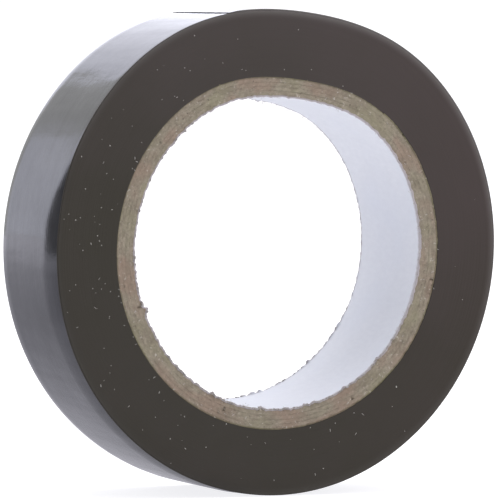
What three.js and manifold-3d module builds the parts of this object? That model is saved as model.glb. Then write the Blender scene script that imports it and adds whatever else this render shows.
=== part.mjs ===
// A roll of electrical insulation tape, standing on its rim: a spiral-wound paper core, the
// strip wound on it, and the strip's free end as a chain of short links that peels off the roll.
// Millimetres. The roll's axis is Y, its front looks along -Y, +Z is up, and the origin is the
// middle of the bore. Angles are in degrees, from +X towards +Z.

import * as THREE from "three";
import { mergeVertices } from "three/addons/utils/BufferGeometryUtils.js";
import Module from "manifold-3d";

const wasm = await Module();
wasm.setup();

// Driving dimensions
const TAPE_WIDTH = 15;
const BORE_RADIUS = 19.05;
const LINER_THICKNESS = 0.2;
const PLY_THICKNESS = 0.5;
const PLY_COUNT = 4;
const WRAP_THICKNESS = 0.2;
const ROLL_RADIUS = 29.4;
const STRIP_THICKNESS = 0.13;
const GLUE_GAP = 0.02; // between two plies, and between the core and the strip

// The slanted butt seam of each paper ply
const SEAM_WIDTH = 0.2;
const SEAM_SWEEP = 75; // how far round a seam runs from the front to the back
const FIRST_SEAM = 150; // the liner's, at the front
const SEAM_STAGGER = 50; // from one ply's seam to the next

// The strip's free end
const CUT_END = 103; // where the strip is cut
const LINK_SWEEP = 12;
const LINK_COUNT = 9;
const LINK_GAP = 0.3; // in degrees, between two links
const LINK_CLEARANCE = 0.03; // between a link and the lap below it
const END_LIFT = 0.12; // how far the cut end stands off the lap below it

// The roll is a little out of round: pressed in near its top, right through to the bore
const PRESS_DEPTH = 1.2; // half way across the tape
const PRESS_LEAN = 0.14; // how much deeper at the back face, and shallower at the front
const PRESS_CENTRE = 83;
const PRESS_SPREAD = 24.5;

// Facets
const CORE_FACETS = 72;
const STRIP_STEP = 3; // degrees
const SEAM_STEPS = 15;

const CORE_RADIUS = BORE_RADIUS + LINER_THICKNESS + PLY_COUNT * PLY_THICKNESS + WRAP_THICKNESS;
const FULL_TURN = 360;
const PEEL_ROOT = CUT_END - LINK_COUNT * LINK_SWEEP;

const linerPaper = new THREE.MeshStandardMaterial({ color: 0xd8dbe4, roughness: 0.75, metalness: 0 });
const chipboard = new THREE.MeshStandardMaterial({ color: 0x8d8074, roughness: 0.95, metalness: 0 });
const kraftPaper = new THREE.MeshStandardMaterial({ color: 0x9c8e80, roughness: 0.9, metalness: 0 });
const woundTape = new THREE.MeshStandardMaterial({ color: 0x3f3b38, roughness: 0.7, metalness: 0 });
const tapeFilm = new THREE.MeshStandardMaterial({ color: 0x1d1d20, roughness: 0.3, metalness: 0 });

function pointAt(radius, angle) {
  const a = THREE.MathUtils.degToRad(angle);
  return new THREE.Vector2(radius * Math.cos(a), radius * Math.sin(a));
}

// Move every vertex towards the axis by the depth to which the roll is pressed at its angle.
function pressed(geometry) {
  const position = geometry.getAttribute("position");
  for (let i = 0; i < position.count; i++) {
    const x = position.getX(i);
    const z = position.getZ(i);
    const away = (THREE.MathUtils.radToDeg(Math.atan2(z, x)) - PRESS_CENTRE) / PRESS_SPREAD;
    const depth = PRESS_DEPTH + (PRESS_LEAN * position.getY(i)) / (TAPE_WIDTH / 2);
    const shrink = 1 - (depth * Math.exp(-away * away)) / Math.hypot(x, z);
    position.setXYZ(i, x * shrink, position.getY(i), z * shrink);
  }
  geometry.computeVertexNormals();
  return geometry;
}

function solidOf(geometry) {
  const bare = geometry.clone();
  bare.deleteAttribute("normal");
  bare.deleteAttribute("uv");
  const merged = mergeVertices(bare);
  const triVerts = new Uint32Array(merged.index.array);
  const vertProperties = new Float32Array(merged.getAttribute("position").array);
  return new wasm.Manifold(new wasm.Mesh({ numProp: 3, vertProperties, triVerts }));
}

function geometryOf(solid) {
  const mesh = solid.getMesh();
  const geometry = new THREE.BufferGeometry();
  geometry.setAttribute("position", new THREE.BufferAttribute(mesh.vertProperties, 3));
  geometry.setIndex(new THREE.BufferAttribute(mesh.triVerts, 1));
  return geometry;
}

// A thin wall through a ply, turning round the roll's axis from its front to its back.
function seamWall(radius, angle) {
  const overrun = 2;
  const wall = new THREE.BoxGeometry(overrun, TAPE_WIDTH + overrun, SEAM_WIDTH, 1, SEAM_STEPS, 1);
  wall.translate(radius, 0, 0);
  const position = wall.getAttribute("position");
  for (let i = 0; i < position.count; i++) {
    const along = position.getY(i) / TAPE_WIDTH + 0.5;
    const turn = THREE.MathUtils.degToRad(angle + SEAM_SWEEP * along);
    const x = position.getX(i);
    const z = position.getZ(i);
    const turnedX = x * Math.cos(turn) - z * Math.sin(turn);
    const turnedZ = x * Math.sin(turn) + z * Math.cos(turn);
    position.setXYZ(i, turnedX, position.getY(i), turnedZ);
  }
  return wall;
}

// One ply of the core: a paper ring with a slanted slit where the edges of its strip meet.
function plyGeometry(inner, outer, seam) {
  const half = TAPE_WIDTH / 2;
  const profile = [
    new THREE.Vector2(inner, -half),
    new THREE.Vector2(outer, -half),
    new THREE.Vector2(outer, half),
    new THREE.Vector2(inner, half),
    new THREE.Vector2(inner, -half),
  ];
  const ring = solidOf(new THREE.LatheGeometry(profile, CORE_FACETS));
  const slit = solidOf(seamWall((inner + outer) / 2, seam));
  return pressed(geometryOf(ring.subtract(slit)));
}

// Extrude an outline drawn in the XZ plane across the width of the tape.
function acrossTape(outline) {
  const geometry = new THREE.ExtrudeGeometry(outline, { depth: TAPE_WIDTH, bevelEnabled: false });
  geometry.rotateX(Math.PI / 2);
  geometry.translate(0, TAPE_WIDTH / 2, 0);
  return pressed(geometry);
}

// The outer surface of the strip's last turn, which ends at the cut: it climbs by one thickness a turn.
function stripRadius(angle) {
  return ROLL_RADIUS - (STRIP_THICKNESS * (CUT_END - angle)) / FULL_TURN;
}

// Every wound lap up to the root of the free end. The free end lies in a step one strip deep.
function coilGeometry() {
  const outline = new THREE.Shape();
  for (let angle = PEEL_ROOT; angle <= CUT_END; angle += STRIP_STEP) {
    const p = pointAt(stripRadius(angle) - STRIP_THICKNESS, angle);
    if (angle === PEEL_ROOT) outline.moveTo(p.x, p.y);
    else outline.lineTo(p.x, p.y);
  }
  for (let angle = CUT_END + STRIP_STEP; angle <= PEEL_ROOT + FULL_TURN; angle += STRIP_STEP) {
    const p = pointAt(stripRadius(angle - FULL_TURN), angle);
    outline.lineTo(p.x, p.y);
  }
  outline.closePath();
  const step = FULL_TURN / CORE_FACETS;
  const hole = [];
  for (let i = 0; i < CORE_FACETS; i++) hole.push(pointAt(CORE_RADIUS + GLUE_GAP, i * step));
  outline.holes.push(new THREE.Path(hole));
  return acrossTape(outline);
}

// One link of the free end, from its own hinge to the next one. The last link is lifted at the cut.
function linkGeometry(index) {
  const from = PEEL_ROOT + index * LINK_SWEEP;
  const steps = LINK_SWEEP / STRIP_STEP;
  const last = index === LINK_COUNT - 1;
  const above = [];
  const below = [];
  for (let i = 0; i <= steps; i++) {
    const along = i / steps;
    const angle = from + LINK_GAP / 2 + along * (LINK_SWEEP - LINK_GAP);
    const lift = last ? END_LIFT * along * along : 0;
    const radius = stripRadius(angle) + lift;
    above.push(pointAt(radius, angle));
    below.unshift(pointAt(radius - STRIP_THICKNESS + LINK_CLEARANCE, angle));
  }
  return acrossTape(new THREE.Shape([...above, ...below]));
}

const roll = new THREE.Group();

function add(name, geometry, material) {
  const mesh = new THREE.Mesh(geometry, material);
  mesh.name = name;
  roll.add(mesh);
}

function addCore() {
  const plies = [{ name: "core_liner", thickness: LINER_THICKNESS, material: linerPaper }];
  for (let i = 1; i <= PLY_COUNT; i++) {
    plies.push({ name: `core_ply_${i}`, thickness: PLY_THICKNESS, material: chipboard });
  }
  plies.push({ name: "core_outer_wrap", thickness: WRAP_THICKNESS, material: kraftPaper });
  let inner = BORE_RADIUS;
  plies.forEach((ply, i) => {
    const outer = inner + ply.thickness;
    add(ply.name, plyGeometry(inner, outer - GLUE_GAP, FIRST_SEAM + i * SEAM_STAGGER), ply.material);
    inner = outer;
  });
}

function addTape() {
  add("tape_coil", coilGeometry(), woundTape);
  for (let i = 0; i < LINK_COUNT; i++) add(`tape_tail_${i + 1}`, linkGeometry(i), tapeFilm);
}

addCore();
addTape();

export default roll;
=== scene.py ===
"""Looks for a roll of black electrical tape: its paper core, the wound strip and the free end.

Metres. The roll's axis is Y, its front looks along -Y, and angles are in degrees from +X to +Z.
"""

import math

import bpy
import numpy as np
from mathutils import Matrix, Vector

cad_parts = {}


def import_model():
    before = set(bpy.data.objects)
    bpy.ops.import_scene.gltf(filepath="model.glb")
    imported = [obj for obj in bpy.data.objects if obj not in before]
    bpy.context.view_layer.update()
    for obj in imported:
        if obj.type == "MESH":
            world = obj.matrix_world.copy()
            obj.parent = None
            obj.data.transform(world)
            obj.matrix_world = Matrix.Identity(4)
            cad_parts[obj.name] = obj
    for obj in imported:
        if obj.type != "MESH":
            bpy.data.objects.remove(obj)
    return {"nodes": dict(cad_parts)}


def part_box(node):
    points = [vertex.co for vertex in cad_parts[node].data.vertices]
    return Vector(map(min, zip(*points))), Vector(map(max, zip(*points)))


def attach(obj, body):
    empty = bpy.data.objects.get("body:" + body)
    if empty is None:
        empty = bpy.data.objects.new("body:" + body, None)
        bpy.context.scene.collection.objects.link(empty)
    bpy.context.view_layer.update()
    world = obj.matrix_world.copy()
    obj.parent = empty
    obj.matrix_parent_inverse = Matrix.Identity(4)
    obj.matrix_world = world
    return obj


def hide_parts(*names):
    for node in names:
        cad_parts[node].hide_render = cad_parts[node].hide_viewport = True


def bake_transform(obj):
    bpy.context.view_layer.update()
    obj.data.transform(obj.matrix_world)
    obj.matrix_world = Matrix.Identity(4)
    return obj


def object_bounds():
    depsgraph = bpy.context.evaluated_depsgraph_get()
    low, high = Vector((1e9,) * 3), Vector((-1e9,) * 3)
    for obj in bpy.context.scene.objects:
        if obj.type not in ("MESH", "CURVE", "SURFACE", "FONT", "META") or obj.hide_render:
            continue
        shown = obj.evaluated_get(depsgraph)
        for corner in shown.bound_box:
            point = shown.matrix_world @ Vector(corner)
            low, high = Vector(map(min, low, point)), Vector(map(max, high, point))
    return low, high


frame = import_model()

CAD_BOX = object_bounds()
MM = 0.001
WHITE = (1.0, 1.0, 1.0)

# The roll's own sizes
HALF_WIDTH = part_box("tape_coil")[1].y
BORE_RADIUS = 19.05 * MM
LINER_THICKNESS = 0.2 * MM
PLY_THICKNESS = 0.5 * MM
PLY_COUNT = 4
WRAP_THICKNESS = 0.2 * MM
CORE_RADIUS = BORE_RADIUS + LINER_THICKNESS + PLY_COUNT * PLY_THICKNESS + WRAP_THICKNESS
ROLL_RADIUS = 29.4 * MM
STRIP_THICKNESS = 0.13 * MM

# The free end: the links that it peels by, and its cut a little past the last link
LINKS_END = 103.0
CUT_END = 105.0
CUT_SKEW = -0.4
CUT_SPREAD = 3.0
LINK_SWEEP = 12.0
LINK_COUNT = sum(name.startswith("tape_tail_") for name in frame["nodes"])
PEEL_ROOT = LINKS_END - LINK_COUNT * LINK_SWEEP
COIL_END = PEEL_ROOT - 360.0
END_LIFT = 0.03 * MM
LAP_GAP = 0.006 * MM  # between the film's adhesive and the lap below it
CUT_WAVE = 0.010 * MM
CUT_JITTER = 0.12
CUT_THINNING = 0.66  # the share of its thickness that the film loses at the cut
CUT_THINNING_LEAN = 0.14  # how much more of it at the back edge, and less at the front

# The dent near the top that presses the whole roll out of round
PRESS_DEPTH = 1.2 * MM
PRESS_LEAN = 0.14 * MM
PRESS_CENTRE = 83.0
PRESS_SPREAD = 24.5

# The core's slanted seams
SEAM_SWEEP = 75.0
FIRST_SEAM = 150.0
SEAM_STAGGER = 50.0

# The outer laps lean back at both sides of the roll, like a worn shoulder
SHOULDER_DEPTH = 0.20 * MM
SHOULDER_REACH = 1.2 * MM

# The outer laps' edges turn down, the front one most at the left: from and to angles, depths and reaches
DROOP_STARTS = (156, 176)
DROOP_EASES = (182, 208)
DROOP_WIDENS = (184, 205)
DROOP_ENDS = (250, 290)
FRONT_DROOP = 0.015 * MM
LEFT_DROOP = 0.30 * MM
FRONT_REACH = 0.5 * MM
LEFT_REACH = 2.7 * MM
LOWER_LEFT_REACH = 1.9 * MM
BACK_DROOP = 0.10 * MM
BACK_REACH = 1.4 * MM
DROOPING_LAPS = 2.6 * MM

# The film's ripples: seed, waves in a turn, waves per metre across, their count and their height
FILM_RIPPLES = (
    (11, (2, 16), 45.0, 40, 0.018 * MM),
    (12, (16, 60), 60.0, 60, 0.008 * MM),
    (13, (60, 150), 70.0, 80, 0.0022 * MM),
)

# The roll's sides: how far in they lie, and how the laps' edges stand out of them and sink between laps
SIDE_INSET = 0.01 * MM
LAP_RISE = 0.0014 * MM
LAP_GROOVE = 0.0012 * MM

# The core's cut face, in millimetres: how deep it lies, and its relief
FACE_SINK = 0.08
FACE_GRAIN = 0.030
FACE_LUMPS = 0.028
PLY_LEVEL = 0.012
CREASE_DEPTH = 0.025
CREASE_WIDTH = 0.07
SLIT_DEPTH = 0.28
TORN_DEPTH = 0.8  # how far into the core's wall the torn rim reaches
TORN_LUMPS = 46  # how many larger lumps each torn rim has

# How many loose pieces lie on the front (-1) and the back (1)
FIBRES = ((-1, 300), (1, 220))
CRUMBS = ((-1, 260), (1, 90))
SPECKS = ((-1, 120), (1, 70))

# The outermost laps, as metres along the strip from the angle 0
RIM_LAPS = 8
RIM_TO = math.radians(COIL_END) * ROLL_RADIUS
RIM_FROM = RIM_TO - RIM_LAPS * 2 * math.pi * ROLL_RADIUS

# How a painted sheen and a browner tone grow over the sides, per metre along X, Y and Z
PAINTED_SHEEN_LEAN = (8.0, 0.0, 20.0)
BROWN_LEAN = (20.0, 0.0, 0.0)

# Camera
VIEW_AZIMUTH = -27.18
VIEW_ELEVATION = 3.10
VIEW_ROLL = 1.33
VIEW_DISTANCE = 0.5962
VIEW_SLIDE = (-0.108 * MM, -0.482 * MM)
VIEW_LENS = 358.58

# Room and table
ROOM_FRONT = 0.34
ROOM_BACK = 1.30
TABLE_REACH = 40.0
TABLE_GLOW = 0.84

# Mesh density
LAP_STEP = 1.0
FILM_STEP = 0.4
CORE_COLUMNS = 1080
ACROSS_ROWS = 40


# ---------------------------------------------------------------- noise and shape functions


def ring_noise(angle, seed, slowest, fastest, fade=0.5):
    """Noise round a ring, about -1 to 1: harmonics from slowest to fastest, weaker as they quicken."""
    rng = np.random.default_rng(seed)
    total = np.zeros_like(angle, dtype=float)
    power = 0.0
    for turns in range(slowest, fastest + 1):
        weight = turns**-fade
        total += weight * np.cos(turns * angle + rng.uniform(0, 2 * math.pi))
        power += weight * weight
    return total / math.sqrt(2 * power)


def surface_noise(angle, across, seed, turns, cycles, count=60):
    """Noise over a ring's surface, about -1 to 1. cycles is the most waves per metre across."""
    rng = np.random.default_rng(seed)
    total = np.zeros(np.broadcast(angle, across).shape)
    for _ in range(count):
        around = int(rng.integers(turns[0], turns[1] + 1))
        along = 2 * math.pi * rng.uniform(-cycles, cycles)
        total += np.cos(around * angle + along * across + rng.uniform(0, 2 * math.pi))
    return total / math.sqrt(count)


def smooth_step(low, high, value):
    t = np.clip((value - low) / (high - low), 0, 1)
    return t * t * (3 - 2 * t)


def turned(degrees):
    """The same direction between 0 and 360 degrees."""
    return np.mod(degrees, 360.0)


def ring_points(radius, degrees, y):
    """Points of the roll, pressed in near its top."""
    radius, degrees, y = np.broadcast_arrays(radius, degrees, y)
    away = ((degrees + 180.0) % 360.0 - 180.0 - PRESS_CENTRE) / PRESS_SPREAD
    depth = PRESS_DEPTH + PRESS_LEAN * y / HALF_WIDTH
    r = radius - depth * np.exp(-away * away)
    a = np.radians(degrees)
    return np.stack([r * np.cos(a), y, r * np.sin(a)], -1)


def strip_radius(degrees):
    """Outer surface of the strip at an unwrapped angle: one thickness higher each turn, up to the cut."""
    return ROLL_RADIUS - STRIP_THICKNESS * (CUT_END - degrees) / 360.0


# ---------------------------------------------------------------- mesh helpers


def grid_faces(index):
    """Quads over a 2-D array of vertex numbers."""
    corners = [index[:-1, :-1], index[1:, :-1], index[1:, 1:], index[:-1, 1:]]
    return np.stack(corners, -1).reshape(-1, 4)


def mesh_object(name, points, faces, materials, material_of_face=None, uv=None, smooth=True):
    """An object from points and faces. smooth is one flag for every face, or one for each."""
    mesh = bpy.data.meshes.new(name)
    mesh.from_pydata(points.tolist(), [], [list(map(int, face)) for face in faces])
    for material in materials:
        mesh.materials.append(material)
    if material_of_face is not None:
        mesh.polygons.foreach_set("material_index", np.asarray(material_of_face, np.int32))
    smooth = np.zeros(len(mesh.polygons), bool) | smooth
    mesh.polygons.foreach_set("use_smooth", smooth)
    # the edges of flat faces are sharp, so that they don't bend the shading of the smooth faces beside them
    edge = np.zeros(len(mesh.loops), np.int32)
    mesh.loops.foreach_get("edge_index", edge)
    sharp = np.zeros(len(mesh.edges), bool)
    sharp[edge[~np.repeat(smooth, [len(face) for face in faces])]] = True
    mesh.edges.foreach_set("use_edge_sharp", sharp)
    if uv is not None:
        layer = mesh.uv_layers.new(name="strip")
        corner = np.zeros(len(mesh.loops), np.int32)
        mesh.loops.foreach_get("vertex_index", corner)
        layer.data.foreach_set("uv", uv[corner].astype(np.float32).ravel())
    mesh.update()
    made = bpy.data.objects.new(name, mesh)
    bpy.context.scene.collection.objects.link(made)
    return made


# ---------------------------------------------------------------- materials


def ramp_node(tree, stops):
    """A colour ramp. stops are (position, grey or (r, g, b))."""
    made = tree.nodes.new("ShaderNodeValToRGB")
    bar = made.color_ramp
    while len(bar.elements) < len(stops):
        bar.elements.new(0.5)
    for element, (position, colour) in zip(bar.elements, stops):
        element.position = position
        rgb = colour if isinstance(colour, tuple) else (colour,) * 3
        element.color = (*rgb, 1.0)
    return made


class Shader:
    """A Principled material, with short calls for its nodes."""

    def __init__(self, name, **fixed):
        self.material = bpy.data.materials.new(name)
        self.material.use_nodes = True
        self.tree = self.material.node_tree
        self.surface = self.tree.nodes["Principled BSDF"]
        for key, value in fixed.items():
            self.surface.inputs[key.replace("_", " ")].default_value = value

    def join(self, value, socket):
        if isinstance(value, bpy.types.NodeSocket):
            self.tree.links.new(value, socket)
        else:
            socket.default_value = value

    def node(self, kind, inputs=None, **settings):
        made = self.tree.nodes.new("ShaderNode" + kind)
        for key, value in settings.items():
            setattr(made, key, value)
        for key, value in (inputs or {}).items():
            self.join(value, made.inputs[key])
        return made

    def math(self, operation, first, second=0.0):
        return self.node("Math", {0: first, 1: second}, operation=operation).outputs[0]

    def noise(self, vector, scale=1.0, detail=3.0, rough=0.6):
        inputs = {"Vector": vector, "Scale": scale, "Detail": detail, "Roughness": rough}
        return self.node("TexNoise", inputs).outputs["Fac"]

    def ramp(self, factor, *stops):
        made = ramp_node(self.tree, stops)
        self.join(factor, made.inputs[0])
        return made.outputs[0]

    def dot(self, first, second):
        return self.node("VectorMath", {0: first, 1: second}, operation="DOT_PRODUCT").outputs["Value"]

    def mix(self, factor, first, second, blend="MIX"):
        made = self.node("Mix", data_type="RGBA", blend_type=blend)
        self.join(factor, made.inputs[0])
        for value, socket in ((first, made.inputs[6]), (second, made.inputs[7])):
            self.join((*value, 1.0) if isinstance(value, tuple) else value, socket)
        return made.outputs[2]

    def place(self):
        return self.node("TexCoord").outputs["Object"]

    def strip_place(self, along, across):
        """A point of the strip: its way along and its way across, each times a scale."""
        uv = self.node("UVMap", uv_map="strip").outputs[0]
        return self.node("VectorMath", {0: uv, 1: (along, across, 1.0)}, operation="MULTIPLY").outputs[0]

    def ring_place(self, around, through):
        """A point of the ring, for noise drawn out along it without a seam. Both inputs are scales."""
        x, y, z = self.node("SeparateXYZ", {0: self.place()}).outputs
        square = self.math("ADD", self.math("MULTIPLY", x, x), self.math("MULTIPLY", z, z))
        radius = self.math("SQRT", square)
        reach = CORE_RADIUS * around
        turn_x = self.math("MULTIPLY", self.math("DIVIDE", x, radius), reach)
        turn_z = self.math("MULTIPLY", self.math("DIVIDE", z, radius), reach)
        depth = self.math("MULTIPLY", self.math("ADD", radius, y), through)
        return self.node("CombineXYZ", {0: turn_x, 1: turn_z, 2: depth}).outputs[0]

    def distance_from_middle(self):
        """How far a point is from the middle of the tape's width."""
        y = self.node("SeparateXYZ", {0: self.place()}).outputs[1]
        return self.math("ABSOLUTE", y)

    def bump(self, height, strength, distance):
        bent = self.node("Bump", {"Strength": strength, "Distance": distance, "Height": height})
        self.join(bent.outputs[0], self.surface.inputs["Normal"])

    def colour(self, value):
        self.join(value, self.surface.inputs["Base Color"])

    def roughness(self, value):
        self.join(value, self.surface.inputs["Roughness"])


def film_material():
    """Glossy calendered PVC: faint lengthwise lines, blotches, uneven sheen, and paler slit edges."""
    s = Shader("pvc_film", IOR=1.5)
    s.surface.inputs["Specular Tint"].default_value = (0.94, 0.95, 1.0, 1.0)
    lines = s.noise(s.strip_place(60.0, 5200.0), detail=2.0)
    blotch = s.noise(s.strip_place(260.0, 260.0))
    streak = s.noise(s.strip_place(110.0, 2400.0), detail=4.0)
    tint = s.ramp(blotch, (0.3, (0.012, 0.012, 0.015)), (0.7, (0.018, 0.018, 0.023)))
    scuff = s.ramp(streak, (0.62, 0.0), (0.80, 0.5))
    tint = s.mix(scuff, tint, (0.040, 0.040, 0.046))
    edge = s.math("DIVIDE", s.distance_from_middle(), HALF_WIDTH)
    pale = s.ramp(edge, (0.969, 0.0), (0.978, 0.6))
    s.colour(s.mix(pale, tint, (0.060, 0.058, 0.057)))
    s.roughness(s.ramp(s.noise(s.strip_place(900.0, 900.0)), (0.3, 0.07), (0.7, 0.13)))
    dimple = s.noise(s.strip_place(420.0, 190.0), detail=4.0, rough=0.65)
    relief = s.math("ADD", s.math("MULTIPLY", dimple, 4.0), lines)
    s.bump(relief, 0.35, 0.00002)
    smear = s.noise(s.strip_place(170.0, 210.0), detail=5.0, rough=0.65)
    drawn = s.noise(s.strip_place(70.0, 1500.0), detail=3.0)
    sheen = s.math("ADD", s.math("MULTIPLY", smear, 0.6), s.math("MULTIPLY", drawn, 0.4))
    s.join(s.ramp(sheen, (0.35, 0.42), (0.65, 0.57)), s.surface.inputs["Specular IOR Level"])
    return s.material


def side_material():
    """The cut edges of the laps: dull black-brown with faint rings, clouds and pale grains; a painted sheen
    towards the top and the right, and a painted highlight on the outermost laps.
    """
    s = Shader("tape_side", IOR=1.45)
    s.surface.inputs["Specular IOR Level"].default_value = 0.42
    rings = s.noise(s.ring_place(40.0, 6500.0), rough=0.7)
    cloud = s.noise(s.place(), 60.0)
    grain = s.noise(s.place(), 7000.0, 2.0)
    base = s.ramp(cloud, (0.35, (0.0262, 0.0226, 0.0152)), (0.65, (0.0308, 0.0256, 0.0202)))
    base = s.mix(0.18, base, s.ramp(rings, (0.3, 0.80), (0.7, 1.2)), "MULTIPLY")
    base = s.mix(s.ramp(grain, (0.70, 0.0), (0.82, 0.3)), base, (0.12, 0.11, 0.10))
    # painted sheen: the sides paler towards the top and the right, where more light falls
    painted_sheen = s.math("ADD", s.dot(s.place(), PAINTED_SHEEN_LEAN), s.math("MULTIPLY", cloud, 0.3))
    painted_sheen = s.ramp(painted_sheen, (0.10, 0.0), (0.85, 0.75))
    base = s.mix(painted_sheen, base, (0.058, 0.0455, 0.046))
    # browner to the right
    right = s.ramp(s.dot(s.place(), BROWN_LEAN), (0.0, 0.0), (0.6, 1.0))
    base = s.mix(right, base, (1.0, 0.90, 0.92), "MULTIPLY")
    # the outermost laps, paler: a painted highlight, faint all round and strongest at the top and the right
    along = s.node("SeparateXYZ", {0: s.strip_place(1.0, 1.0)}).outputs[0]
    rim = s.node("MapRange", {"Value": along, "From Min": RIM_FROM, "From Max": RIM_TO}).outputs[0]
    rim = s.math("MULTIPLY", s.math("POWER", rim, 2.0), s.math("ADD", painted_sheen, 0.08))
    base = s.mix(rim, base, (0.150, 0.142, 0.140))
    s.colour(base)
    s.roughness(s.ramp(rings, (0.2, 0.50), (0.8, 0.64)))
    s.bump(grain, 0.2, 0.00002)
    return s.material


def adhesive_material():
    """The strip's inner side: a tacky rubber coat, a little wrinkled."""
    s = Shader("adhesive", IOR=1.5)
    wrinkle = s.noise(s.strip_place(900.0, 350.0), detail=4.0)
    s.colour(s.ramp(wrinkle, (0.3, (0.020, 0.019, 0.018)), (0.7, (0.038, 0.036, 0.034))))
    s.roughness(s.ramp(wrinkle, (0.25, 0.38), (0.75, 0.6)))
    s.bump(wrinkle, 0.35, 0.00003)
    return s.material


def board_material(name, dark, light, warm, green):
    """Cut chipboard: fibres that follow the ply, warm and greenish patches, dark specks and pale flecks."""
    s = Shader(name, IOR=1.4)
    s.surface.inputs["Specular IOR Level"].default_value = 0.2
    fibre = s.noise(s.ring_place(1700.0, 2900.0), detail=5.0, rough=0.8)
    patch = s.noise(s.ring_place(520.0, 1000.0))
    hue = s.noise(s.ring_place(150.0, 300.0), detail=2.0)
    base = s.ramp(fibre, (0.28, dark), (0.72, light))
    base = s.mix(s.ramp(hue, (0.40, 0.55), (0.52, 0.0)), base, warm)
    base = s.mix(s.ramp(hue, (0.52, 0.0), (0.66, 0.5)), base, green)
    base = s.mix(s.ramp(patch, (0.35, 0.45), (0.55, 0.0)), base, dark)
    dark_and_pale_specks = s.noise(s.place(), 2400.0, 2.0)
    base = s.mix(s.ramp(dark_and_pale_specks, (0.25, 0.7), (0.34, 0.0)), base, (0.08, 0.065, 0.055))
    base = s.mix(s.ramp(dark_and_pale_specks, (0.64, 0.0), (0.76, 0.7)), base, (0.58, 0.55, 0.50))
    s.colour(base)
    s.roughness(s.ramp(fibre, (0.2, 0.8), (0.8, 0.98)))
    s.bump(fibre, 0.6, 0.00006)
    return s.material


def liner_material():
    """Smooth white paper, a little blue, with its felt mottle; fuzzy where it is cut, and grey there with
    painted shade.
    """
    s = Shader("liner_paper", IOR=1.45)
    s.surface.inputs["Specular IOR Level"].default_value = 0.3
    felt = s.noise(s.ring_place(1500.0, 900.0), detail=4.0)
    cloud = s.noise(s.place(), 90.0, 2.0)
    base = s.ramp(felt, (0.3, (0.628, 0.642, 0.700)), (0.7, (0.668, 0.682, 0.736)))
    base = s.mix(s.ramp(cloud, (0.45, 0.0), (0.75, 0.35)), base, (0.59, 0.62, 0.71))
    fuzz = s.noise(s.place(), 1800.0, 4.0)
    y = s.node("SeparateXYZ", {0: s.place()}).outputs[1]
    front = s.math("ADD", s.math("DIVIDE", y, -HALF_WIDTH), s.math("MULTIPLY", fuzz, 0.08))
    back = s.math("ADD", s.math("DIVIDE", y, HALF_WIDTH), s.math("MULTIPLY", fuzz, 0.05))
    # the torn fringe at both cut edges: paper fuzz, darkened grey with painted shade
    torn = (0.37, 0.33, 0.345)
    base = s.mix(s.ramp(front, (0.94, 0.0), (0.99, 0.85)), base, torn)
    base = s.mix(s.ramp(back, (0.985, 0.0), (1.0, 0.8)), base, torn)
    s.colour(base)
    s.roughness(s.ramp(felt, (0.2, 0.55), (0.8, 0.75)))
    s.bump(felt, 0.2, 0.00003)
    return s.material


def fibre_material(name, dark, light):
    """Loose paper fibre and dust: pale, uneven."""
    s = Shader(name, IOR=1.4)
    blotch = s.noise(s.place(), 4000.0, 2.0)
    s.colour(s.ramp(blotch, (0.35, dark), (0.65, light)))
    s.roughness(s.ramp(blotch, (0.3, 0.7), (0.7, 0.95)))
    return s.material


# ---------------------------------------------------------------- the wound strip


def width_rows():
    """Places across the strip from -1 (front edge) to 1 (back edge), closer together near the edges."""
    t = np.linspace(-1, 1, ACROSS_ROWS + 1)
    return np.sin(t * math.pi / 2) * 0.6 + t * 0.4


def half_width_at(radius):
    """Half the roll's width at a radius: the outer laps lean back."""
    rise = np.clip(1 - (ROLL_RADIUS - radius) / SHOULDER_REACH, 0, 1)
    return HALF_WIDTH - SHOULDER_DEPTH * rise**2


def edge_droop(degrees, inset, back):
    """How far the outer laps turn down at a distance in from their front or back edge."""
    turn = turned(degrees)
    if back:
        return BACK_DROOP * np.clip(1 - inset / BACK_REACH, 0, 1) ** 2
    left = smooth_step(*DROOP_STARTS, turn) * (1 - 0.5 * smooth_step(*DROOP_EASES, turn))
    left = left * (1 - smooth_step(*DROOP_ENDS, turn))
    depth = FRONT_DROOP + LEFT_DROOP * left
    reach = FRONT_REACH + (LEFT_REACH + LOWER_LEFT_REACH * smooth_step(*DROOP_WIDENS, turn)) * left
    return depth * np.clip(1 - inset / reach, 0, 1) ** 1.5


def film_radius(degrees, y):
    """The strip's outer surface: the spiral, slow ripples, fine cross wrinkles and turned-down edges."""
    a = np.radians(degrees)
    ripple = sum(surface_noise(a, y, *waves) * height for *waves, height in FILM_RIPPLES)
    inside = 1 - np.abs(y / HALF_WIDTH) ** 8
    half = half_width_at(ROLL_RADIUS)
    droop = edge_droop(degrees, y + half, False) + edge_droop(degrees, half - y, True)
    return strip_radius(degrees) + ripple * inside - droop


def strip_uv(degrees, y):
    degrees, y = np.broadcast_arrays(degrees, y)
    return np.stack([np.radians(degrees) * ROLL_RADIUS, y], -1).reshape(-1, 2)


def lap_level(degrees, seed):
    """How far each lap's edge stands out of the roll's side, as noise along the strip."""
    turns = degrees / 360.0
    rng = np.random.default_rng(seed)
    total = np.zeros_like(turns)
    for cycles in (0.13, 0.31, 0.53, 0.87, 1.37, 2.71, 5.3):
        total += np.cos(2 * math.pi * (cycles * turns + rng.uniform())) / math.sqrt(cycles + 0.5)
    return total * LAP_RISE


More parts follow.
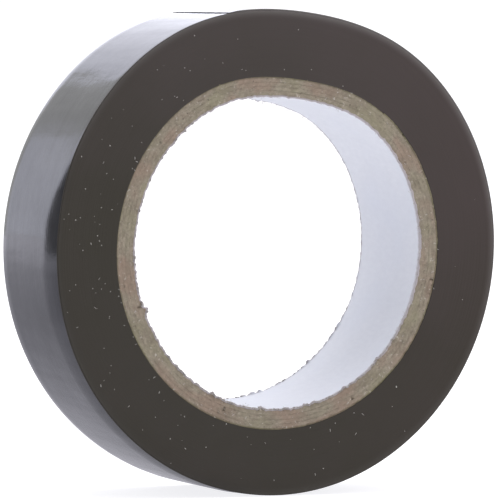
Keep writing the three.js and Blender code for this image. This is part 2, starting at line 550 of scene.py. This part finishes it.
def coil(side):
    """The wound laps below the outermost one, as one closed spiral with each lap's edge on both sides."""
    per_lap = round(360 / LAP_STEP)
    laps = (strip_radius(COIL_END) - CORE_RADIUS) / STRIP_THICKNESS
    steps = round(laps * per_lap)
    groove_angle = COIL_END + (np.arange(-per_lap, steps + 1) - steps) * LAP_STEP
    crest_angle = groove_angle[per_lap:]
    groove_r = strip_radius(groove_angle)
    crest_r = strip_radius(crest_angle) - STRIP_THICKNESS / 2

    def side_points(sign, seed):
        level = lap_level(crest_angle, seed)
        groove_level = np.concatenate([np.repeat(level[:1], per_lap), level]) - LAP_GROOVE
        out = []
        for r, angle, rise in ((groove_r, groove_angle, groove_level), (crest_r, crest_angle, level)):
            rim = smooth_step(ROLL_RADIUS - DROOPING_LAPS, ROLL_RADIUS, r)
            drop = edge_droop(angle, np.zeros_like(r), sign > 0) * rim
            out.append(ring_points(r - drop, angle, sign * (half_width_at(r) - SIDE_INSET + rise)))
        return out

    points = side_points(-1, 21) + side_points(1, 22)
    start = np.cumsum([0] + [len(p) for p in points])
    front_groove, front_crest, back_groove, back_crest = (
        start[i] + np.arange(len(points[i])) for i in range(4)
    )
    inner = slice(0, steps + 1)
    outer = slice(per_lap, per_lap + steps + 1)
    last = slice(steps, steps + per_lap + 1)
    first = slice(0, per_lap + 1)
    faces = [
        grid_faces(np.stack([front_groove[inner], front_crest])),
        grid_faces(np.stack([front_crest, front_groove[outer]])),
        grid_faces(np.stack([back_crest, back_groove[inner]])),
        grid_faces(np.stack([back_groove[outer], back_crest])),
        grid_faces(np.stack([back_groove[first], front_groove[first]])),
        grid_faces(np.stack([front_groove[last], back_groove[last]])),
    ]
    ends = [
        [front_groove[0], front_crest[0], back_crest[0], back_groove[0]],
        [front_crest[0], front_groove[per_lap], back_groove[per_lap], back_crest[0]],
        [front_crest[-1], front_groove[steps], back_groove[steps], back_crest[-1]],
        [front_groove[-1], front_crest[-1], back_crest[-1], back_groove[-1]],
    ]
    quads = np.concatenate(faces + [np.array(ends)])
    angles = np.concatenate([groove_angle, crest_angle, groove_angle, crest_angle])
    uv = strip_uv(angles, np.zeros_like(angles))
    made = mesh_object("tape_coil_laps", np.concatenate(points), quads, [side], None, uv)
    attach(made, "roll")
    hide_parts("tape_coil")
    return made


def strip_piece(name, start, end, film, adhesive, side):
    """A closed stretch of the strip between two unwrapped angles."""
    count = round((end - start) / FILM_STEP)
    angle = np.linspace(start, end, count + 1)[:, None]
    across = width_rows()[None, :]
    y = across * half_width_at(ROLL_RADIUS)
    lift = END_LIFT * np.clip((angle - (CUT_END - LINK_SWEEP)) / LINK_SWEEP, 0, 1) ** 2
    near_cut = smooth_step(CUT_END - CUT_SPREAD, CUT_END, angle)
    wave = ring_noise(across * math.pi, 31, 1, 9) * CUT_WAVE * near_cut
    cut = (ring_noise(across * math.pi, 32, 2, 40, 0.3) * CUT_JITTER - CUT_SKEW * across) * near_cut
    thinning = STRIP_THICKNESS * (CUT_THINNING + CUT_THINNING_LEAN * across) * near_cut
    thickness = STRIP_THICKNESS - LAP_GAP - thinning
    top_r = film_radius(angle, y) + lift + wave - thinning
    top = ring_points(top_r, angle + cut, y)
    under = ring_points(top_r - thickness, angle + cut, y)
    points = np.concatenate([top.reshape(-1, 3), under.reshape(-1, 3)])
    t = np.arange(top.shape[0] * top.shape[1]).reshape(top.shape[:2])
    u = t + t.size
    groups = [
        grid_faces(t.T),
        grid_faces(u),
        grid_faces(np.stack([t[:, 0], u[:, 0]])),
        grid_faces(np.stack([u[:, -1], t[:, -1]])),
        grid_faces(np.stack([u[0], t[0]])),
        grid_faces(np.stack([t[-1], u[-1]])),
    ]
    which = np.concatenate([np.full(len(g), min(i, 2)) for i, g in enumerate(groups)])
    uv = np.concatenate([strip_uv(angle, y)] * 2)
    faces = np.concatenate(groups)
    # the slit edges and the ends are shaded flat, so that two pieces meet without a line
    made = mesh_object(name, points, faces, [film, adhesive, side], which, uv, which < 2)
    return made


def free_end(film, adhesive, side):
    """The free end in stretches that meet half way along the links."""
    for number in range(LINK_COUNT + 1):
        start = PEEL_ROOT + max(0.0, number - 0.5) * LINK_SWEEP
        end = min(CUT_END, PEEL_ROOT + (number + 0.5) * LINK_SWEEP)
        made = strip_piece(f"tape_film_{number}", start, end, film, adhesive, side)
        if number == LINK_COUNT:
            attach(made, f"tail_{number}")
        else:
            ends = [ring_points(strip_radius(a), a, 0.0) for a in (start, end)]
            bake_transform(made)
        if number > 0:
            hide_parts(f"tape_tail_{number}")


# ---------------------------------------------------------------- the paper core


def torn_edge(degrees, side):
    """How far the bore's torn rim stands in from the bore, front (-1) or back (1): scallops and burrs."""
    a = np.radians(degrees)
    seed = 60 if side < 0 else 65
    scallop = np.abs(ring_noise(a, seed, 25, 90, 0.3))
    fuzz = ring_noise(a, seed + 1, 120, 320, 0.0)
    bottom = smooth_step(190, 235, turned(degrees)) * (1 - smooth_step(325, 350, turned(degrees)))
    amount = 0.55 + 0.25 * ring_noise(a, seed + 2, 2, 9) + 0.45 * bottom
    inward = (0.26 * scallop + 0.04 * fuzz) * np.clip(amount, 0.2, 1.5)
    rng = np.random.default_rng(seed + 3)
    for _ in range(TORN_LUMPS):
        centre = rng.uniform(0, 360)
        height = rng.uniform(0.05, 0.26 if side < 0 else 0.15) * (0.5 + 0.5 * (190 < centre < 345))
        reach = rng.uniform(0.5, 1.5)
        gap = (degrees - centre + 180) % 360 - 180
        inward = inward + height * np.exp(-((gap / reach) ** 2))
    return inward * MM


def section_rows(inner, outer, steps):
    """The closed outline of a ply's section as (radius, place along the axis)."""
    near = np.array([0.0, 0.08, 0.2, 0.4, 0.8, 1.6]) * MM
    wall = np.concatenate([-HALF_WIDTH + near, [-3 * MM, 0.0, 3 * MM], (HALF_WIDTH - near)[::-1]])
    radii = np.linspace(inner, outer, steps + 1)
    rows = [(r, -HALF_WIDTH) for r in radii]
    rows += [(outer, y) for y in wall[1:-1]]
    rows += [(r, HALF_WIDTH) for r in radii[::-1]]
    rows += [(inner, y) for y in wall[::-1][1:-1]]
    return np.array(rows)


def core_ply(name, node, index, inner, outer, material, steps):
    rows = section_rows(inner, outer, steps)
    degrees = np.linspace(0, 360, CORE_COLUMNS, endpoint=False)[None, :]
    a = np.radians(degrees)
    r = rows[:, 0:1] + 0 * a
    y = rows[:, 1:2] + 0 * a
    side = np.sign(y)
    at_end = smooth_step(HALF_WIDTH - 0.35 * MM, HALF_WIDTH, np.abs(y))
    # the sawn face: lumps, fine grain, a crease between plies and the open end of the seam
    rough = surface_noise(a, r + 0.004 * side, 41, (30, 260), 2200.0, 110) * FACE_GRAIN
    rough += surface_noise(a, r + 0.004 * side, 42, (3, 30), 420.0, 50) * FACE_LUMPS
    level = ring_noise(a, 50 + index, 1, 14) * PLY_LEVEL
    outermost = index == PLY_COUNT + 1
    crease = 0 if outermost else CREASE_DEPTH * np.clip(1 - (outer - r) / (CREASE_WIDTH * MM), 0, 1)
    crease = crease * (0.5 + 0.5 * ring_noise(a, 80 + index, 3, 40))
    seam = FIRST_SEAM + index * SEAM_STAGGER + SEAM_SWEEP * (y / HALF_WIDTH + 1) / 2
    gap = np.abs((degrees - seam + 180) % 360 - 180)
    slit = SLIT_DEPTH * np.exp(-((gap / 0.3) ** 2))
    sink = (FACE_SINK - rough - level + crease + slit) * MM
    # the torn rim of the bore, pushed inwards and a little back
    from_bore = np.clip(1 - (r - BORE_RADIUS) / (TORN_DEPTH * MM), 0, 1)
    torn = np.where(side < 0, torn_edge(degrees, -1), torn_edge(degrees, 1))
    r = r - torn * from_bore * at_end
    sink = sink + 0.35 * torn * from_bore**2
    y = y - side * sink * at_end
    points = ring_points(r, degrees, y).reshape(-1, 3)
    number = np.arange(r.size).reshape(r.shape)
    closed = np.concatenate([number, number[:1]], 0)
    closed = np.concatenate([closed, closed[:, :1]], 1)
    made = mesh_object(name, points, grid_faces(closed.T), [material])
    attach(made, "roll")
    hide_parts(node)
    return made


def core(liner, board, wrap):
    plies = [("core_liner", LINER_THICKNESS, liner, "liner_paper", 3)]
    for i in range(1, PLY_COUNT + 1):
        plies.append((f"core_ply_{i}", PLY_THICKNESS, board, "chipboard", 7))
    plies.append(("core_outer_wrap", WRAP_THICKNESS, wrap, "kraft_wrap", 3))
    inner = BORE_RADIUS
    for index, (node, thickness, material, slot, steps) in enumerate(plies):
        outer = inner + thickness
        core_ply(node + "_paper", node, index, inner, outer - 0.004 * MM, material, steps)
        inner = outer


# ---------------------------------------------------------------- fibres, burrs and dust


def tube(path, radius, sides=5):
    """Points and faces of a thin closed fibre along path, tapered at both ends."""
    path = np.asarray(path)
    along = np.gradient(path, axis=0)
    along /= np.linalg.norm(along, axis=1, keepdims=True)
    across = np.cross(along, [0.31, 0.52, 0.79])
    across /= np.linalg.norm(across, axis=1, keepdims=True)
    up = np.cross(along, across)
    count = len(path)
    taper = radius * (np.sqrt(np.clip(1 - np.linspace(-1, 1, count) ** 2, 0, 1)) + 0.25)
    turn = np.linspace(0, 2 * math.pi, sides, endpoint=False)
    ring = np.cos(turn)[None, :, None] * across[:, None] + np.sin(turn)[None, :, None] * up[:, None]
    points = path[:, None] + taper[:, None, None] * ring
    index = np.arange(count * sides).reshape(count, sides)
    faces = grid_faces(np.concatenate([index, index[:, :1]], 1)).tolist()
    faces += [index[0].tolist(), index[-1][::-1].tolist()]
    return points.reshape(-1, 3), faces


def blob(rng, centre, size, flat, normal):
    """A small uneven flake, flattened along normal."""
    normal = np.array(normal) / np.linalg.norm(normal)
    first = np.cross(normal, rng.normal(size=3))
    first /= np.linalg.norm(first)
    second = np.cross(normal, first)
    sides = 7
    turn = np.linspace(0, 2 * math.pi, sides, endpoint=False)
    points = []
    for height, share in ((-0.8, 0.55), (0.0, 1.0), (0.8, 0.6)):
        reach = size * share * rng.uniform(0.6, 1.2, sides)
        stretch = rng.uniform(0.7, 1.5)
        ring = (np.cos(turn) * reach * stretch)[:, None] * first + (np.sin(turn) * reach)[:, None] * second
        points.append(centre + ring + normal * height * size * flat)
    index = np.arange(3 * sides).reshape(3, sides)
    faces = grid_faces(np.concatenate([index, index[:, :1]], 1)[:, ::-1]).tolist()
    faces += [index[0][::-1].tolist(), index[-1].tolist()]
    return np.concatenate(points), faces


def joined(name, parts, material):
    """One piece on the roll from many (points, faces) parts."""
    points = []
    faces = []
    base = 0
    for part_points, part_faces in parts:
        points.append(part_points)
        faces += [[i + base for i in face] for face in part_faces]
        base += len(part_points)
    made = mesh_object(name, np.concatenate(points), faces, [material])
    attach(made, "roll")
    return made


def curl(rng, start, heading, length, bend, steps=7):
    """A short curly path from start."""
    path = [np.array(start)]
    direction = np.array(heading) / np.linalg.norm(heading)
    twist = rng.normal(size=3) * bend
    for _ in range(steps - 1):
        path.append(path[-1] + direction * length / (steps - 1))
        direction = direction + twist / (steps - 1)
        direction /= np.linalg.norm(direction)
    return path


def edge_fibres(material):
    """Torn paper fibres on both ends of the bore and on the cut board."""
    rng = np.random.default_rng(71)
    parts = []
    for side, amount in FIBRES:
        for _ in range(amount):
            degrees = rng.uniform(0, 360)
            on_edge = rng.uniform() < 0.65
            inset = -torn_edge(degrees, side) * 0.8 if on_edge else rng.uniform(0.2, 2.3) * MM
            start = ring_points(BORE_RADIUS + inset, degrees, side * (HALF_WIDTH - 0.1 * MM))
            a = math.radians(degrees)
            inward = np.array([-math.cos(a), 0, -math.sin(a)])
            around = np.array([-math.sin(a), 0, math.cos(a)])
            lean = rng.normal(0.5, 0.5) if on_edge else rng.normal(0, 0.3)
            heading = around * rng.normal() + inward * lean
            heading[1] = side * rng.uniform(0.0, 0.35)
            path = curl(rng, start, heading, rng.uniform(0.12, 0.6) * MM, 1.2)
            parts.append(tube(path, rng.uniform(0.008, 0.02) * MM))
    return joined("core_fibres", parts, material)


def burrs(material):
    """Crumbs of torn board along both edges of the bore, most of them at the lower left."""
    rng = np.random.default_rng(72)
    parts = []
    for side, amount in CRUMBS:
        for _ in range(amount):
            degrees = rng.normal(250, 50)
            radius = BORE_RADIUS - torn_edge(degrees, side) * rng.uniform(0.0, 0.9)
            y = side * (HALF_WIDTH - rng.uniform(0.02, 0.2) * MM)
            centre = ring_points(radius, degrees, y)
            a = math.radians(degrees)
            normal = [math.cos(a), rng.normal() * 0.4, math.sin(a)]
            parts.append(blob(rng, centre, rng.uniform(0.06, 0.18) * MM, rng.uniform(0.4, 0.8), normal))
    return joined("core_burrs", parts, material)


def dust(material):
    """Specks and short lint on both sides of the laps, thickest at the left and near the core."""
    rng = np.random.default_rng(73)
    parts = []
    for side, amount in SPECKS:
        for _ in range(amount):
            degrees = rng.normal(205, 70)
            inside = CORE_RADIUS + 0.1 * MM
            outside = ROLL_RADIUS - 0.8 * MM
            radius = inside + (outside - inside) * rng.uniform() ** 1.3
            centre = ring_points(radius, degrees, side * (half_width_at(radius) + 0.005 * MM))
            if rng.uniform() < 0.25:
                heading = [rng.normal(), 0.02 * side, rng.normal()]
                path = curl(rng, centre, heading, rng.uniform(0.15, 0.4) * MM, 0.5)
                parts.append(tube(path, rng.uniform(0.018, 0.03) * MM))
            else:
                parts.append(blob(rng, centre, rng.uniform(0.025, 0.075) * MM, 0.5, [0, side, 0]))
    return joined("dust_specks", parts, material)


# ---------------------------------------------------------------- studio


def towards(azimuth, elevation, distance):
    """A place seen from the roll: azimuth from +Y towards +X."""
    a = math.radians(azimuth)
    e = math.radians(elevation)
    return Vector((math.sin(a) * math.cos(e), math.cos(a) * math.cos(e), math.sin(e))) * distance


def glow_material(name, strength, colour, soft):
    """Light that fades out towards the panel's edges: soft is the fade's share of its width and height."""
    material = bpy.data.materials.new(name)
    material.use_nodes = True
    tree = material.node_tree
    tree.nodes.clear()
    glow = tree.nodes.new("ShaderNodeEmission")
    glow.inputs["Color"].default_value = (*colour, 1)
    glow.inputs["Strength"].default_value = strength
    out = tree.nodes.new("ShaderNodeOutputMaterial")
    if max(soft) == 0.0:
        tree.links.new(glow.outputs[0], out.inputs[0])
        return material
    place = tree.nodes.new("ShaderNodeTexCoord")
    parts = tree.nodes.new("ShaderNodeSeparateXYZ")
    tree.links.new(place.outputs["Generated"], parts.inputs[0])
    shares = []
    for axis in (0, 1):
        away = tree.nodes.new("ShaderNodeMath")
        away.operation = "PINGPONG"
        away.inputs[1].default_value = 0.5
        tree.links.new(parts.outputs[axis], away.inputs[0])
        fade = tree.nodes.new("ShaderNodeMapRange")
        fade.interpolation_type = "SMOOTHSTEP"
        fade.inputs["From Max"].default_value = max(soft[axis], 0.001) / 2
        tree.links.new(away.outputs[0], fade.inputs["Value"])
        shares.append(fade.outputs[0])
    both = tree.nodes.new("ShaderNodeMath")
    both.operation = "MULTIPLY"
    for share, socket in zip(shares, both.inputs):
        tree.links.new(share, socket)
    clear = tree.nodes.new("ShaderNodeBsdfTransparent")
    mixed = tree.nodes.new("ShaderNodeMixShader")
    tree.links.new(both.outputs[0], mixed.inputs[0])
    tree.links.new(clear.outputs[0], mixed.inputs[1])
    tree.links.new(glow.outputs[0], mixed.inputs[2])
    tree.links.new(mixed.outputs[0], out.inputs[0])
    return material


def card(name, azimuth, elevation, distance, width, height, strength, colour=WHITE, soft=(0.0, 0.0)):
    """A studio panel that faces the roll, lights it and shows in its gloss, but not to the camera."""
    w = width / 2
    h = height / 2
    mesh = bpy.data.meshes.new(name)
    mesh.from_pydata([(-w, -h, 0), (w, -h, 0), (w, h, 0), (-w, h, 0)], [], [(0, 1, 2, 3)])
    mesh.materials.append(glow_material(name, strength, colour, soft))
    made = bpy.data.objects.new(name, mesh)
    made.location = towards(azimuth, elevation, distance)
    made.rotation_euler = (-made.location).to_track_quat("Z", "Y").to_euler()
    made.visible_camera = False
    bpy.context.scene.collection.objects.link(made)
    return made


def level_ramp(tree, value, *stops):
    """Light levels up to 2 at places from 0 to 1. A ramp itself only goes up to 1."""
    made = ramp_node(tree, [(position, level / 2) for position, level in stops])
    doubled = tree.nodes.new("ShaderNodeMath")
    doubled.operation = "MULTIPLY"
    doubled.inputs[1].default_value = 2.0
    tree.links.new(value, made.inputs[0])
    tree.links.new(made.outputs[0], doubled.inputs[0])
    return doubled.outputs[0]


def floor_shade():
    """A glowing card on the table, from under the roll to behind its left, seen only in the film's gloss: a
    painted reflection of the table, dim in the roll's shade and brighter further back.
    """
    length = 1.15
    made = card("floor_shade", 0, 90, 1.0, 0.70, length, 1.0, (0.96, 0.95, 1.05), (0.2, 0.006))
    tree = made.data.materials[0].node_tree
    place = tree.nodes["Separate XYZ"]
    near = ((0.006, 0.44), (0.030, 0.92), (0.078, 0.88))
    far = ((0.33, 1.72), (0.6, 1.95))
    away = level_ramp(tree, place.outputs[1], *near, *far)
    aside = level_ramp(tree, place.outputs[0], (0.4886, 0.86), (0.500, 1.04))
    both = tree.nodes.new("ShaderNodeMath")
    both.operation = "MULTIPLY"
    tree.links.new(away, both.inputs[0])
    tree.links.new(aside, both.inputs[1])
    tree.links.new(both.outputs[0], tree.nodes["Emission"].inputs["Strength"])
    lean = math.radians(32.0)
    start = Vector((-0.002, -0.009, CAD_BOX[0].z + 0.0005))
    made.location = start + Vector((-math.sin(lean), math.cos(lean), 0)) * length / 2
    made.rotation_euler = (0.0, 0.0, lean)
    made.visible_diffuse = False
    made.visible_shadow = False
    made.visible_transmission = False


def world():
    """A soft white room, brighter behind the roll than in front of it."""
    made = bpy.data.worlds.new("studio")
    bpy.context.scene.world = made
    made.use_nodes = True
    tree = made.node_tree
    back = tree.nodes["Background"]
    back.inputs["Color"].default_value = (1.0, 1.0, 1.0, 1.0)
    direction = tree.nodes.new("ShaderNodeTexCoord")
    parts = tree.nodes.new("ShaderNodeSeparateXYZ")
    spread = tree.nodes.new("ShaderNodeMapRange")
    tree.links.new(direction.outputs["Generated"], parts.inputs[0])
    tree.links.new(parts.outputs[1], spread.inputs["Value"])
    spread.inputs["From Min"].default_value = -0.6
    spread.inputs["From Max"].default_value = 0.8
    spread.inputs["To Min"].default_value = ROOM_FRONT
    spread.inputs["To Max"].default_value = ROOM_BACK
    tree.links.new(spread.outputs[0], back.inputs["Strength"])


def floor():
    """A white table, faintly lit from below."""
    s = Shader("floor", Roughness=0.9)
    s.surface.inputs["Specular IOR Level"].default_value = 0.0
    s.surface.inputs["Emission Color"].default_value = (0.99, 0.99, 1.02, 1.0)
    s.surface.inputs["Emission Strength"].default_value = TABLE_GLOW
    s.colour(s.ramp(s.noise(s.place(), 3.0), (0.3, 0.36), (0.7, 0.38)))
    reach = TABLE_REACH
    mesh = bpy.data.meshes.new("floor")
    corners = [(-reach, -reach, 0), (reach, -reach, 0), (reach, reach, 0), (-reach, reach, 0)]
    mesh.from_pydata(corners, [], [(0, 1, 2, 3)])
    mesh.materials.append(s.material)
    made = bpy.data.objects.new("floor", mesh)
    made.location.z = CAD_BOX[0].z
    bpy.context.scene.collection.objects.link(made)


def studio():
    bpy.context.scene.view_settings.view_transform = "Standard"
    world()
    floor()
    cool = (0.94, 0.95, 1.06)
    card("panel_behind", 17, 24, 1.2, 0.84, 0.66, 2.2, cool)
    card("panel_left", -30, 10, 1.2, 0.50, 0.64, 2.2, cool, (0.10, 0.36))
    card("panel_above", 20, 80, 0.9, 0.9, 0.9, 3.2)
    card("panel_front", 142, 42, 0.5, 0.36, 0.26, 3.4, (1.04, 0.98, 0.98), (0.6, 0.6))
    card("panel_right", 120, 6, 0.5, 0.22, 0.30, 2.8, (1.12, 0.93, 0.96), (0.6, 0.6))
    card("flag_left", -61, 8, 0.28, 0.287, 0.145, 0.30, WHITE, (0.3, 0.26))
    floor_shade()


def camera():
    a = math.radians(VIEW_AZIMUTH)
    e = math.radians(VIEW_ELEVATION)
    roll = math.radians(VIEW_ROLL)
    back = Vector((math.sin(a) * math.cos(e), -math.cos(a) * math.cos(e), math.sin(e)))
    level = (-back).cross(Vector((0, 0, 1))).normalized()
    upright = level.cross(-back)
    right = level * math.cos(roll) + upright * math.sin(roll)
    up = upright * math.cos(roll) - level * math.sin(roll)
    data = bpy.data.cameras.new("camera")
    data.lens = VIEW_LENS
    data.sensor_width = 36.0
    data.clip_start = 0.05
    data.clip_end = 100.0
    made = bpy.data.objects.new("camera", data)
    place = right * VIEW_SLIDE[0] + up * VIEW_SLIDE[1] + back * VIEW_DISTANCE
    made.matrix_world = Matrix.Translation(place) @ Matrix((right, up, back)).transposed().to_4x4()
    bpy.context.scene.collection.objects.link(made)
    bpy.context.scene.camera = made


camera()
studio()
film = film_material()
side = side_material()
adhesive = adhesive_material()
chipboard = board_material(
    "chipboard", (0.190, 0.162, 0.124), (0.385, 0.345, 0.276), (0.30, 0.213, 0.17), (0.272, 0.26, 0.172)
)
kraft = board_material(
    "kraft_wrap", (0.155, 0.14, 0.09), (0.30, 0.27, 0.185), (0.24, 0.18, 0.14), (0.24, 0.22, 0.13)
)
coil(side)
outer_lap = strip_piece("tape_outer_lap", COIL_END, PEEL_ROOT, film, adhesive, side)
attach(outer_lap, "roll")
free_end(film, adhesive, side)
core(liner_material(), chipboard, kraft)
edge_fibres(fibre_material("paper_fibre", (0.32, 0.29, 0.28), (0.62, 0.60, 0.60)))
burrs(fibre_material("torn_board", (0.26, 0.24, 0.225), (0.46, 0.435, 0.42)))
dust(fibre_material("dust", (0.32, 0.31, 0.29), (0.66, 0.64, 0.61)))
